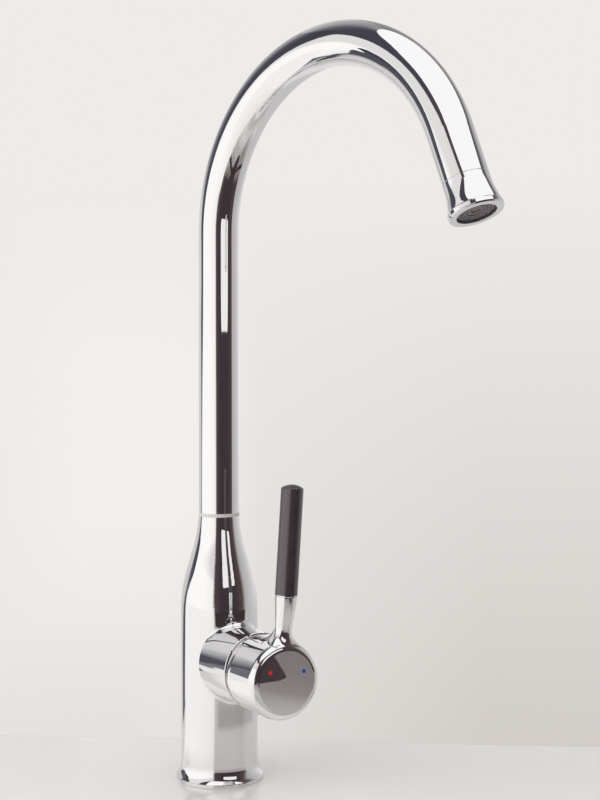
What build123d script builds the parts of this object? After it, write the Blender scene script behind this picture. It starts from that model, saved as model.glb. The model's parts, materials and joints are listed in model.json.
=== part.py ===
from build123d import *
from math import asin, cos, pi, radians, sin, sqrt
import os

# Kitchen tap with one lever for hot, cold and filtered water. Millimetres.
# The origin is on the sink top, on the axis of the round body. +Z is up, and the
# handle's own axis points to -Y. Hub pieces are made with +Z along the handle's axis
# and measured from the body's axis, then turned into place.

os.makedirs("parts", exist_ok=True)

# ---- fits ----
running_gap = 0.05        # between pieces that turn or slide on each other
seat_gap = 0.1            # between fixed pieces that are pushed together
free_gap = 0.3            # between pieces that move past each other

# ---- body ----
body_radius = 23.8
neck_radius = 12.7        # outside of the body at its top
shoulder_gap = 5.6        # straight side between the boss and the shoulder
shoulder_height = 58.9
shoulder_low_pull = 26.0  # how long the shoulder keeps upright, from below
shoulder_high_pull = 24.9
shoulder_high_flare = 1.9
foot_radius = 26.9
foot_flare_height = 11.0
foot_ring_height = 2.2
foot_ring_wall = 2.6
foot_round = 0.4
foot_seal_rim = 1.1       # metal between the seal and the base ring
foot_seal_width = 2.6
foot_seal_depth = 1.6

# ---- waterways ----
inlet_radius = 5.0        # M10 hose thread, as a plain bore
inlet_depth = 12.0
inlet_spread = 8.5        # hot and cold, each side of the centre
inlet_back = 5.0
filtered_inlet_front = 9.5
passage_radius = 2.5
riser_radius = 3.4
filtered_riser_radius = 2.8
stud_radius = 4.0         # M8 fixing studs, as plain bores
stud_depth = 14.0
stud_spread = 14.0
stud_front = 7.0
chamber_rise = 20.2       # floor of the mixing chamber, above the handle's axis
mixed_riser_front = 7.0

# ---- handle axis, boss and cartridge; distances are from the body's axis ----
hub_height = 75.8
hub_radius = 22.6
boss_back = 16.0
boss_back_round = 0.8
boss_fillet = 3.0
boss_end = 49.6
boss_edge = 0.3
cartridge_seat = 22.0
cartridge_radius = 17.0
cartridge_wall = 0.55
boss_mouth_depth = 5.6
nut_radius = 19.4
base_thickness = 6.0
base_overlap = 4.0        # how far the housing reaches down over the base
port_x = 8.5
port_low = 4.0
filtered_port_low = 10.0
filtered_port_high = 0.5
mixed_port_high = 8.5
port_seal_radius = 3.4
port_seal_section = 0.7
disc_seal_thickness = 1.0
fixed_disc_radius = 15.8
fixed_disc_thickness = 4.5
moving_disc_radius = 12.0
moving_disc_thickness = 4.0
chamber_depth = 2.0
mixing_inner_radius = 6.3
mixing_outer_radius = 11.0
mixing_low_edge = -1.0    # up and down from the disc's centre, with the tap shut
filtered_slot_width = 3.6
filtered_slot_low = -11.2
filtered_slot_high = -3.0
carrier_radius = 13.2
carrier_flat = 12.6
carrier_thickness = 4.5
rotor_radius = 16.1
rotor_flange = 2.9
turret_radius = 10.8
turret_end = 57.5
slip_ring_thickness = 1.0
housing_turret_radius = 13.6
housing_front_wall = 2.4
housing_end = 57.0
nut_lip = 2.0
nut_collar_radius = 17.5
nut_collar_end = 55.0
nut_key_count = 4
nut_key_width = 4.0
nut_key_depth = 1.5
dome_seal_place = 53.0
dome_seal_section = 0.6

# ---- handle ----
tilt_limit = 14.0         # degrees, forward for mains water and back for filtered
tilt_pivot = 52.8         # where the stem's pin crosses the handle's axis
handle_lean = 3.85        # degrees, as the handle stands, towards cold
pin_radius = 1.5
pin_length = 19.0
stem_width = 7.0
stem_depth = 8.0
stem_square = 8.0
stem_square_start = 60.0
stem_end = 77.0
stem_waist_start = 47.0
finger_radius = 2.2
ball_radius = 2.6
ball_place = 40.5
dome_radius = 21.9        # ball surface round the pivot
dome_start = 49.7
dome_end = 66.0
dome_wall = 2.5
hub_ball_gap = 0.3        # between the dome and the inside of the hub
hub_start = 56.0
hub_face = 83.0
hub_edge = 4.8            # rounding of the front edge
hub_rim_round = 0.15
socket_radius = 6.8
socket_start = 63.0
screw_radius = 2.5
screw_sink = 9.5          # below the hub's surface
screw_place = 74.2
screw_plug_length = 2.0
screw_plug_sink = 0.3
hex_key_radius = 1.3
hex_key_depth = 3.0
mark_radius = 1.2
mark_depth = 0.8
mark_spread = 11.0
mark_height = 5.9
lever_place = 76.8        # the grip's own axis, along the handle's axis
grip_radius = 6.5
grip_start = 48.9
grip_end = 112.2
grip_crown = 2.2
grip_edge_round = 0.6
collar_radius = 6.2
collar_height = 0.5
neck_top_radius = 6.5
neck_top_round = 0.3
neck_mid_radius = 5.6
neck_waist_radius = 4.85
neck_mid_drop = 10.0      # below the top of the neck
neck_waist_drop = 20.0
neck_foot_drop = 32.0
neck_mid_set_back = 0.4
neck_waist_set_back = 1.2
neck_fillet = 12.0
grip_stud_radius = 2.0
grip_stud_length = 26.0
grip_stud_in_neck = 10.0

# ---- spout ----
spout_heading = -78.8     # degrees from +X
spout_radius = 12.5
spout_wall = 1.2
swivel_ring_height = 2.1
bend_rise = 173.5         # straight spout above the body
bend_radius = 98.4
bend_angle = 157.5
down_leg = 27.1
tail_radius = 10.42
tail_wall = 2.8
tail_depth = 33.0         # below the top of the body
tail_in_tube = 15.0
o_ring_section = 0.9
o_ring_depths = (7.0, 22.0)
slip_depths = (2.5, 28.0)
slip_height = 3.6
slip_thickness = 0.8
slip_split = 1.0
keep_groove_depth = 15.0  # below the top of the body
keep_groove_width = 3.0
keep_groove_radius = 9.2
keep_screw_radius = 2.0
keep_screw_tip_radius = 1.2
keep_screw_tip = 1.2
small_tube_radius = 4.0
small_tube_wall = 1.0
spigot_radius = 3.9
spigot_thread_radius = 4.2
spigot_bore = 1.5
spigot_hex = 5.5
spigot_hex_height = 3.0
spigot_thread_length = 7.0
spigot_length = 19.0      # above its hexagon
spigot_seal_section = 0.6
spigot_seal_places = (8.0, 13.0)
small_socket_radius = 5.5
small_socket_start = 4.0  # above the spigot's hexagon
small_socket_length = 22.0
spacer_shares = (0.12, 0.32, 0.955)  # of the spout's centre line
spacer_height = 5.0
spacer_wall = 1.4
spacer_arms = 3

# ---- outlet; distances are from the seam between tube and nozzle ----
nozzle_length = 18.9
nozzle_spigot = 9.0
nozzle_seam = 0.3
nozzle_straight = 3.0
nozzle_lip_start = 15.6
nozzle_flare_radius = 14.2
nozzle_lip_radius = 14.8
nozzle_lip_round = 0.7
nozzle_bore = 9.2
mouth_radius = 10.6
mouth_start = 11.0
washer_thickness = 0.8
washer_bore = 8.0
aerator_recess = 1.9      # below the nozzle's end
aerator_wall = 1.3
aerator_lip = 0.8
screen_thickness = 0.6
screen_hole_radius = 0.45
screen_rows = (5.6, 7.0, 8.2)
screen_row_pitch = 1.5
ring_outer_radii = (8.9, 7.4, 5.9)
ring_width = 0.7
ring_web = 1.2
ring_depth = 2.6
web_hole_radius = 0.35
jet_radius = 4.2
jet_bore = 2.6
jet_socket_radius = 5.2
jet_socket_start = 2.0
jet_socket_length = 8.0

over = 1.0                # extra length of every cutting tool
UP = (Align.CENTER, Align.CENTER, Align.MIN)

# ---- heights that follow from the sizes ----
shoulder_start = hub_height + hub_radius + shoulder_gap
body_top = shoulder_start + shoulder_height
chamber_floor = hub_height + chamber_rise
bend_start = body_top + bend_rise

# ---- places ----
hub_frame = Pos(0, 0, hub_height) * Rot(90, 0, 0)
turned_frame = hub_frame * Rot(0, 0, -handle_lean)
lever_frame = turned_frame * Pos(0, 0, lever_place) * Rot(-90, 0, 0)
spout_frame = Rot(0, 0, spout_heading)

# ---- places that follow from the sizes ----
foot_seal_radius = foot_radius - foot_ring_wall - foot_seal_rim
swivel_top = body_top + swivel_ring_height
tail_bottom = body_top - tail_depth
spout_bore = spout_radius - spout_wall
neck_bore = tail_radius + running_gap
tail_bore = tail_radius - tail_wall
cartridge_bore = cartridge_radius + seat_gap
housing_bore = cartridge_radius - cartridge_wall
boss_mouth_radius = nut_radius + running_gap
boss_mouth_start = boss_end - boss_mouth_depth
base_top = cartridge_seat + base_thickness
fixed_disc_start = base_top + disc_seal_thickness
moving_disc_start = fixed_disc_start + fixed_disc_thickness
carrier_start = moving_disc_start + moving_disc_thickness
carrier_end = carrier_start + carrier_thickness
rotor_start = carrier_end + seat_gap
flange_end = rotor_start + rotor_flange
housing_step = flange_end + slip_ring_thickness + seat_gap
housing_shoulder = housing_step + housing_front_wall
hub_ball_radius = dome_radius + hub_ball_gap
spigot_hex_top = chamber_floor + spigot_hex_height
small_socket_bottom = spigot_hex_top + small_socket_start
small_tube_start = small_socket_bottom + small_socket_length - spigot_hex_height
aerator_front = nozzle_length - aerator_recess
washer_end = mouth_start + washer_thickness

# Ports of the cartridge, as (sideways, up) from the handle's axis.
cartridge_ports = {
    "hot": (-port_x, -port_low),
    "cold": (port_x, -port_low),
    "filtered_in": (0, -filtered_port_low),
    "filtered_out": (0, filtered_port_high),
    "mixed_out": (0, mixed_port_high),
}


def rod(low, high, radius):
    """Round bar about the local axis."""
    return Pos(0, 0, low) * Cylinder(radius, high - low, align=UP)


def pipe(low, high, outer, inner):
    """Round bar with a bore right through."""
    return rod(low, high, outer) - rod(low - over, high + over, inner)


def turned(*edges):
    """Solid turned about the local axis from the edges of a half section."""
    section = make_face([edge for part in edges for edge in part.edges()])
    return revolve(Plane.XZ * section, Axis.Z)


def turned_outline(*points):
    """Solid turned about the local axis from straight lines between (radius, height) points."""
    return revolve(Plane.XZ * make_face(Polyline(*points, close=True)), Axis.Z)


def ring_of(radius, section, height):
    """Round-section seal about the local axis."""
    return Pos(0, 0, height) * Torus(radius, section)


def on_ball(ball_radius_here, place):
    """Radius, about the handle's axis, of a ball round the pivot at this place."""
    return sqrt(ball_radius_here**2 - (place - tilt_pivot) ** 2)


def hexagon(low, high, across):
    """Hexagonal bar about the local axis."""
    return Pos(0, 0, low) * extrude(RegularPolygon(across, 6), high - low)


# ---- body_casting ----
def shoulder_point(height):
    """Radius of the casting's outside at a height on the shoulder."""
    curve = shoulder_curve()
    low, high = 0.0, 1.0
    for _ in range(40):
        middle = (low + high) / 2
        if (curve @ middle).Y < height:
            low = middle
        else:
            high = middle
    return (curve @ low).X


def shoulder_curve():
    return Bezier(
        (body_radius, shoulder_start),
        (body_radius, shoulder_start + shoulder_low_pull),
        (neck_radius + shoulder_high_flare, body_top - shoulder_high_pull),
        (neck_radius, body_top),
    )


def bottle():
    flare_end = (foot_radius, foot_ring_height + foot_round)
    flare_rise = foot_flare_height - flare_end[1]
    flare_reach = foot_radius - body_radius
    flare_radius = (flare_reach**2 + flare_rise**2) / (2 * flare_reach)
    half_turn = asin(flare_rise / flare_radius) / 2
    middle = (
        body_radius + flare_radius * (1 - cos(half_turn)),
        foot_flare_height - flare_radius * sin(half_turn),
    )
    foot_inner = foot_radius - foot_ring_wall
    return turned(
        Polyline(
            (0, body_top),
            (0, 0),
            (foot_inner, 0),
            (foot_inner, foot_ring_height),
            (foot_radius - foot_round, foot_ring_height),
            flare_end,
        ),
        ThreePointArc(flare_end, middle, (body_radius, foot_flare_height)),
        Line((body_radius, foot_flare_height), (body_radius, shoulder_start)),
        shoulder_curve(),
        Line((neck_radius, body_top), (0, body_top)),
    )


def boss_outside():
    drum = rod(boss_back, boss_end, hub_radius)
    drum = chamfer(drum.edges().group_by(Axis.Z)[0], boss_back_round)
    return chamfer(drum.edges().group_by(Axis.Z)[-1], boss_edge)


def crosswise(x, z, start, finish, radius):
    """Passage along the handle's direction, from one distance to another."""
    return hub_frame * Pos(x, z, 0) * rod(start, finish, radius)


def waterways():
    cuts = []
    for side in (-1, 1):
        x = side * inlet_spread
        cuts.append(Pos(x, inlet_back, 0) * rod(-over, inlet_depth, inlet_radius))
        cuts.append(Pos(x, inlet_back, 0) * rod(inlet_depth, hub_height - port_low, riser_radius))
        cuts.append(crosswise(side * port_x, -port_low, -inlet_back, cartridge_seat + over, passage_radius))
        cuts.append(Pos(side * stud_spread, -stud_front, 0) * rod(-over, stud_depth, stud_radius))
    front = Pos(0, -filtered_inlet_front, 0)
    cuts.append(front * rod(-over, inlet_depth, inlet_radius))
    cuts.append(front * rod(inlet_depth, hub_height - filtered_port_low, filtered_riser_radius))
    cuts.append(
        crosswise(0, -filtered_port_low, filtered_inlet_front, cartridge_seat + over, passage_radius)
    )
    cuts.append(crosswise(0, filtered_port_high, 0, cartridge_seat + over, passage_radius))
    cuts.append(rod(hub_height + filtered_port_high, chamber_floor, passage_radius))
    thread_bottom = chamber_floor - spigot_thread_length - seat_gap
    cuts.append(rod(thread_bottom, chamber_floor + over, spigot_thread_radius + running_gap))
    cuts.append(
        crosswise(0, mixed_port_high, mixed_riser_front, cartridge_seat + over, passage_radius)
    )
    mixed_riser = rod(hub_height + mixed_port_high, chamber_floor + over, passage_radius)
    cuts.append(Pos(0, -mixed_riser_front, 0) * mixed_riser)
    cuts.append(rod(chamber_floor, body_top + over, neck_bore))
    return cuts


def make_body():
    outside = bottle() + hub_frame * boss_outside()
    # The two long curves, above and below, where the boss runs into the straight side.
    joint = [edge for edge in outside.edges().filter_by(GeomType.BSPLINE) if edge.length > hub_radius]
    outside = fillet(joint, boss_fillet)
    inner = foot_seal_radius - foot_seal_width
    cuts = waterways()
    cuts.append(pipe(-over, foot_seal_depth, foot_seal_radius + seat_gap, inner - seat_gap))
    cuts.append(hub_frame * rod(cartridge_seat, boss_end + over, cartridge_bore))
    cuts.append(hub_frame * rod(boss_mouth_start, boss_end + over, boss_mouth_radius))
    cuts.append(keep_screw_frame * rod(tail_radius - over, body_radius, keep_screw_radius + running_gap))
    return outside - cuts


keep_screw_frame = Pos(0, 0, body_top - keep_groove_depth) * Rot(-90, 0, 0)


# ---- foot ----
def make_base_ring():
    ring = pipe(0, foot_ring_height, foot_radius, foot_radius - foot_ring_wall + running_gap)
    rims = ring.edges().filter_by(GeomType.CIRCLE).sort_by(SortBy.RADIUS)[-2:]
    return fillet(rims, foot_round)


def make_base_seal():
    return pipe(0, foot_seal_depth, foot_seal_radius, foot_seal_radius - foot_seal_width)


# ---- neck joint ----
def make_swivel_ring():
    return pipe(body_top, swivel_top, spout_radius, neck_bore + seat_gap)


def make_keep_screw():
    outer = shoulder_point(body_top - keep_groove_depth) - free_gap
    thread_start = neck_bore + seat_gap
    screw = rod(thread_start, outer, keep_screw_radius)
    screw += rod(thread_start - keep_screw_tip, thread_start, keep_screw_tip_radius)
    return screw - hexagon(outer - keep_screw_radius, outer + over, keep_screw_radius / 2)


def make_filter_spigot():
    spigot = rod(chamber_floor - spigot_thread_length, chamber_floor, spigot_thread_radius)
    spigot += hexagon(chamber_floor, spigot_hex_top, spigot_hex)
    spigot += rod(spigot_hex_top, spigot_hex_top + spigot_length, spigot_radius)
    for place in spigot_seal_places:
        spigot -= pipe_groove(spigot_hex_top + place, spigot_radius, spigot_seal_section)
    bottom = chamber_floor - spigot_thread_length - over
    return spigot - rod(bottom, spigot_hex_top + spigot_length + over, spigot_bore)


def pipe_groove(height, outer, section):
    """Groove for a round seal that fills it and ends just inside the bore."""
    half = section + seat_gap
    return pipe(height - half, height + half, outer + over, outer - 2 * section + running_gap / 2)


def make_filter_spigot_seals():
    centre = spigot_radius + running_gap / 2 - spigot_seal_section
    return [ring_of(centre, spigot_seal_section, spigot_hex_top + place) for place in spigot_seal_places]


# ---- cartridge, fixed pieces ----
def port_cutters(low, high, radius):
    return [Pos(x, y, 0) * rod(low, high, radius) for x, y in cartridge_ports.values()]


def make_cartridge_base():
    base = rod(cartridge_seat, base_top, housing_bore - running_gap)
    base -= port_cutters(cartridge_seat - over, base_top + over, passage_radius)
    pocket_end = cartridge_seat + 2 * port_seal_section
    pocket_radius = port_seal_radius + port_seal_section
    return base - port_cutters(cartridge_seat - over, pocket_end, pocket_radius)


def make_port_seals():
    height = cartridge_seat + port_seal_section
    seal = ring_of(port_seal_radius - running_gap, port_seal_section, height)
    return [Pos(x, y, 0) * seal for x, y in cartridge_ports.values()]


def make_disc_seals():
    seal = pipe(base_top, fixed_disc_start, port_seal_radius, passage_radius)
    return [Pos(x, y, 0) * seal for x, y in cartridge_ports.values()]


def make_fixed_disc():
    disc = rod(fixed_disc_start, moving_disc_start, fixed_disc_radius)
    return disc - port_cutters(fixed_disc_start - over, moving_disc_start + over, passage_radius)


def make_housing():
    start = base_top - base_overlap
    return turned_outline(
        (housing_bore, start),
        (cartridge_radius, start),
        (cartridge_radius, housing_shoulder),
        (housing_turret_radius, housing_shoulder),
        (housing_turret_radius, housing_end),
        (turret_radius + 2 * seat_gap, housing_end),
        (turret_radius + 2 * seat_gap, housing_step),
        (housing_bore, housing_step),
    )


def make_nut():
    front = housing_shoulder + nut_lip
    nut = turned_outline(
        (cartridge_radius + seat_gap, boss_mouth_start + free_gap),
        (nut_radius, boss_mouth_start + free_gap),
        (nut_radius, front),
        (nut_collar_radius, front),
        (nut_collar_radius, nut_collar_end),
        (housing_turret_radius + seat_gap, nut_collar_end),
        (housing_turret_radius + seat_gap, housing_shoulder),
        (cartridge_radius + seat_gap, housing_shoulder),
    )
    key = Pos(0, 0, nut_collar_end - nut_key_depth) * Box(
        3 * nut_radius, nut_key_width, nut_key_depth + over, align=UP
    )
    for turn in range(nut_key_count // 2):
        nut -= Rot(0, 0, turn * 360 / nut_key_count) * key
    return nut - pipe_groove(dome_seal_place, nut_collar_radius, dome_seal_section)


def make_dome_seal():
    centre = nut_collar_radius + running_gap / 2 - dome_seal_section
    return ring_of(centre, dome_seal_section, dome_seal_place)


def make_dome():
    back_inner = nut_radius + seat_gap
    step = housing_shoulder + nut_lip + seat_gap
    bore = nut_collar_radius + seat_gap
    middle = (dome_start + dome_end) / 2
    return turned(
        ThreePointArc(
            (on_ball(dome_radius, dome_start), dome_start),
            (on_ball(dome_radius, middle), middle),
            (on_ball(dome_radius, dome_end), dome_end),
        ),
        Polyline(
            (on_ball(dome_radius, dome_end), dome_end),
            (on_ball(dome_radius, dome_end) - running_gap, dome_end),
            (bore, nut_collar_end + dome_wall),
            (bore, step),
            (back_inner, step),
            (back_inner, dome_start),
            (on_ball(dome_radius, dome_start), dome_start),
        ),
    )


# ---- cartridge, pieces that turn with the handle ----
def make_rotor():
    rotor = rod(rotor_start, flange_end, rotor_radius) + rod(flange_end, turret_end, turret_radius)
    rail_start = carrier_start + seat_gap
    rail_inner = carrier_flat + free_gap
    rail_outer = rotor_radius - running_gap
    rail_half = sqrt(rotor_radius**2 - rail_outer**2)
    rail = Box(
        rail_outer - rail_inner, 2 * rail_half, rotor_start - rail_start, align=UP
    )
    for side in (-1, 1):
        rotor += Pos(side * (rail_inner + rail_outer) / 2, 0, rail_start) * rail
    slot_height = turret_end - rotor_start + 2 * over
    slot = Pos(0, 0, rotor_start - over) * Box(
        stem_width + 2 * free_gap, 2 * stem_swing(), slot_height, align=UP
    )
    pin_bar = Cylinder(pin_radius + running_gap / 2, 2 * rotor_radius)
    return rotor - slot - Pos(0, 0, tilt_pivot) * Rot(0, 90, 0) * pin_bar


def stem_swing():
    """Half the length of the slot that the tilting stem needs."""
    reach = max(turret_end - tilt_pivot, tilt_pivot - stem_waist_start)
    angle = radians(tilt_limit)
    return reach * sin(angle) + stem_depth / 2 / cos(angle) + 2 * free_gap


def make_slip_ring():
    return pipe(flange_end, flange_end + slip_ring_thickness, rotor_radius, turret_radius + seat_gap)


def make_pin():
    return Pos(0, 0, tilt_pivot) * Rot(0, 90, 0) * Cylinder(pin_radius, pin_length)


# ---- cartridge, pieces that slide ----
def make_carrier():
    carrier = rod(carrier_start, carrier_end, carrier_radius)
    carrier &= Box(2 * carrier_flat, 3 * carrier_radius, 4 * hub_face)
    return carrier - rod(carrier_start - over, carrier_end + over, ball_radius + free_gap)


def make_moving_disc():
    disc = rod(moving_disc_start, carrier_start, moving_disc_radius)
    low = moving_disc_start - over
    high = moving_disc_start + chamber_depth
    mixing = pipe(low, high, mixing_outer_radius, mixing_inner_radius)
    mixing -= Pos(0, mixing_low_edge, low - over) * Box(
        2 * hub_radius, 2 * hub_radius, 2 * hub_radius, align=(Align.CENTER, Align.MAX, Align.MIN)
    )
    filtered = Pos(0, filtered_slot_low, low) * Box(
        filtered_slot_width,
        filtered_slot_high - filtered_slot_low,
        high - low,
        align=(Align.CENTER, Align.MIN, Align.MIN),
    )
    return disc - mixing - filtered


# ---- handle ----
def make_stem():
    finger_start = ball_place
    stem = rod(finger_start, stem_waist_start, finger_radius)
    stem += Pos(0, 0, ball_place) * Sphere(ball_radius)
    stem += Pos(0, 0, stem_waist_start) * Box(
        stem_width, stem_depth, stem_square_start - stem_waist_start, align=UP
    )
    stem += Pos(0, 0, stem_square_start) * Box(
        stem_square, stem_square, stem_end - stem_square_start, align=UP
    )
    hole = Pos(0, 0, tilt_pivot) * Rot(0, 90, 0) * Cylinder(pin_radius + running_gap, 2 * stem_width)
    return stem - hole


def make_hub():
    hub = rod(hub_start, hub_face, hub_radius)
    rims = hub.edges().filter_by(GeomType.CIRCLE).sort_by(Axis.Z)
    hub = fillet(rims[-1], hub_edge)
    return chamfer(hub.edges().filter_by(GeomType.CIRCLE).sort_by(Axis.Z)[0], hub_rim_round)


def make_neck():
    top = grip_start - collar_height
    stations = (
        (top, neck_top_radius, 0),
        (top - neck_mid_drop, neck_mid_radius, neck_mid_set_back),
        (top - neck_waist_drop, neck_waist_radius, neck_waist_set_back),
        (top - neck_foot_drop, neck_waist_radius, neck_waist_set_back),
    )
    rings = [Pos(0, back, height) * Circle(radius) for height, radius, back in stations]
    neck = loft(rings)
    return fillet(neck.edges().group_by(Axis.Z)[-1], neck_top_round)


def make_handle_hub():
    # The neck is made in the lever's frame, then brought into the hub's frame.
    into_hub = Pos(0, 0, lever_place) * Rot(-90, 0, 0)
    hub = make_hub()
    neck = into_hub * make_neck()
    handle = hub + neck
    seam = [
        edge
        for edge in handle.edges().filter_by(GeomType.BSPLINE)
        if abs(edge.center().Y - hub_radius) < neck_waist_radius / 2
    ]
    handle = fillet(seam, neck_fillet)
    ball = Pos(0, 0, tilt_pivot) * Sphere(hub_ball_radius)
    socket = rod(socket_start, hub_face, socket_radius)
    handle -= ball - socket
    square = stem_square + 2 * running_gap
    handle -= Pos(0, 0, socket_start - over) * Box(
        square, square, stem_end - socket_start + over + seat_gap, align=UP
    )
    handle -= screw_frame * rod(0, hub_radius + over, screw_radius + running_gap)
    for side in (-1, 1):
        handle -= mark_solid(side, over)
    handle -= into_hub * rod(
        grip_start - collar_height - grip_stud_in_neck - seat_gap, grip_start, grip_stud_radius + running_gap
    )
    return handle


# The screw stands in the hub's underside and points at the stem.
screw_frame = Pos(0, 0, screw_place) * Rot(90, 0, 0)


def make_hub_screw():
    start = stem_square / 2 + running_gap
    outer = hub_radius - screw_sink
    screw = rod(start, outer, screw_radius)
    return screw - hexagon(outer - hex_key_depth, outer + over, hex_key_radius)


def make_screw_plug():
    outer = hub_radius - screw_plug_sink
    return rod(outer - screw_plug_length, outer, screw_radius)


def mark_solid(side, extra=0.0):
    x = side * mark_spread
    return Pos(x, mark_height, 0) * rod(hub_face - mark_depth, hub_face + extra, mark_radius)


def make_collar():
    return pipe(grip_start - collar_height, grip_start, collar_radius, grip_stud_radius + running_gap)


def make_grip():
    side_end = grip_end - grip_crown
    crown_radius = (grip_radius**2 + grip_crown**2) / (2 * grip_crown)
    half = asin(grip_radius / crown_radius) / 2
    middle = (crown_radius * sin(half), grip_end - crown_radius * (1 - cos(half)))
    grip = turned(
        Polyline((0, grip_end), (0, grip_start), (grip_radius, grip_start), (grip_radius, side_end)),
        ThreePointArc((grip_radius, side_end), middle, (0, grip_end)),
    )
    grip = fillet(grip.edges().sort_by(Axis.Z)[-2:-1], grip_edge_round)
    hole_end = grip_start - collar_height - grip_stud_in_neck + grip_stud_length + seat_gap
    return grip - rod(grip_start - over, hole_end, grip_stud_radius + running_gap)


def make_grip_stud():
    start = grip_start - collar_height - grip_stud_in_neck
    return rod(start, start + grip_stud_length, grip_stud_radius)


# ---- spout ----
bend = Plane.XZ * CenterArc((bend_radius, bend_start), bend_radius, 180, -bend_angle)
down_direction = bend % 1
seam_centre = bend @ 1 + down_direction * down_leg
outlet_frame = spout_frame * Location(Plane(origin=seam_centre, x_dir=(0, 1, 0), z_dir=down_direction))


def spout_pipe(start, extra_end, outer, inner):
    """Pipe that follows the spout from a height to a distance past its seam."""
    end = seam_centre + down_direction * extra_end
    path = Wire([Line((0, 0, start), (0, 0, bend_start)), bend, Line(bend @ 1, end)])
    section = Pos(0, 0, start) * (Circle(outer) - Circle(inner))
    return spout_frame * sweep(section, path=path)


def spout_spot(share):
    """Place on the spout's centre line, at this share of its length from the lower end."""
    path = Wire([Line((0, 0, swivel_top), (0, 0, bend_start)), bend, Line(bend @ 1, seam_centre)])
    return spout_frame * path.location_at(share * path.length, position_mode=PositionMode.LENGTH)


def make_tail():
    tail = rod(tail_bottom, swivel_top, tail_radius)
    tail += rod(swivel_top, swivel_top + tail_in_tube, spout_bore - running_gap)
    for depth in o_ring_depths:
        tail -= pipe_groove(body_top - depth, tail_radius, o_ring_section)
    for depth in slip_depths:
        middle = body_top - depth
        half = slip_height / 2 + seat_gap
        tail -= pipe(middle - half, middle + half, spout_radius, tail_radius - slip_thickness)
    middle = body_top - keep_groove_depth
    half = keep_groove_width / 2
    tail -= pipe(middle - half, middle + half, spout_radius, keep_groove_radius)
    return tail - rod(tail_bottom - over, swivel_top + tail_in_tube + over, tail_bore)


def make_tail_seals():
    centre = tail_radius + running_gap / 2 - o_ring_section
    return [ring_of(centre, o_ring_section, body_top - depth) for depth in o_ring_depths]


def make_slip_rings():
    rings = []
    for depth in slip_depths:
        low = body_top - depth - slip_height / 2
        outer = tail_radius + running_gap / 2
        ring = pipe(low, low + slip_height, outer, tail_radius - slip_thickness + running_gap / 2)
        cutter = Box(spout_radius, slip_split, slip_height + 2 * over, align=UP)
        rings.append(ring - Pos(tail_radius, 0, low - over) * cutter)
    return rings


def make_small_socket():
    top = small_socket_bottom + small_socket_length
    socket = rod(small_socket_bottom, top, small_socket_radius)
    spigot_room = spigot_hex_top + spigot_length + free_gap
    socket -= rod(small_socket_bottom - over, spigot_room, spigot_radius + running_gap)
    socket -= rod(small_socket_bottom, top + over, small_tube_radius - small_tube_wall)
    return socket - rod(small_tube_start, top + over, small_tube_radius + running_gap)


def make_spacers():
    spacers = []
    for share in spacer_shares:
        star = pipe(0, spacer_height, small_tube_radius + spacer_wall, small_tube_radius + running_gap)
        arm_start = small_tube_radius + spacer_wall / 2
        arm_length = spout_bore - seat_gap - arm_start
        arm = Pos(arm_start + arm_length / 2, 0, 0) * Box(arm_length, spacer_wall, spacer_height, align=UP)
        for index in range(spacer_arms):
            star += Rot(0, 0, index * 360 / spacer_arms) * arm
        spacers.append(spout_spot(share) * star)
    return spacers


# ---- outlet ----
def make_nozzle():
    flare = Bezier(
        (spout_radius, nozzle_straight),
        (spout_radius, (nozzle_straight + nozzle_lip_start) / 2),
        (nozzle_flare_radius - nozzle_seam, nozzle_lip_start - nozzle_straight),
        (nozzle_flare_radius, nozzle_lip_start),
    )
    nozzle = turned(
        Polyline(
            (nozzle_bore, nozzle_length),
            (nozzle_bore, -nozzle_spigot),
            (spout_bore - running_gap, -nozzle_spigot),
            (spout_bore - running_gap, 0),
            (spout_radius - nozzle_seam, 0),
            (spout_radius, nozzle_seam),
            (spout_radius, nozzle_straight),
        ),
        flare,
        Polyline(
            (nozzle_flare_radius, nozzle_lip_start),
            (nozzle_lip_radius, nozzle_lip_start + nozzle_lip_round),
            (nozzle_lip_radius, nozzle_length - nozzle_lip_round),
            (nozzle_lip_radius - nozzle_lip_round, nozzle_length),
            (nozzle_bore, nozzle_length),
        ),
    )
    nozzle -= rod(mouth_start, nozzle_length + over, mouth_radius)
    seal_place = -nozzle_spigot / 2
    return nozzle - pipe_groove(seal_place, spout_bore - running_gap, o_ring_section / 2)


def make_nozzle_seal():
    section = o_ring_section / 2
    return ring_of(spout_bore - running_gap / 2 - section, section, -nozzle_spigot / 2)


def make_washer():
    return pipe(mouth_start, washer_end, mouth_radius - seat_gap, washer_bore)


def make_aerator_housing():
    outer = mouth_radius - running_gap
    inner = outer - aerator_wall
    return turned_outline(
        (inner, washer_end + aerator_lip),
        (washer_bore, washer_end + aerator_lip),
        (washer_bore, washer_end),
        (outer, washer_end),
        (outer, aerator_front),
        (inner, aerator_front),
    )


def make_screen():
    low = washer_end + aerator_lip
    outer = mouth_radius - running_gap - aerator_wall - running_gap
    screen = pipe(low, low + screen_thickness, outer, jet_radius + running_gap)
    holes = []
    for radius in screen_rows:
        count = int(2 * pi * radius / screen_row_pitch)
        for index in range(count):
            spot = Rot(0, 0, index * 360 / count) * Pos(radius, 0, 0)
            holes.append(spot * rod(low - over, low + 2 * over, screen_hole_radius))
    return screen - holes


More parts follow.
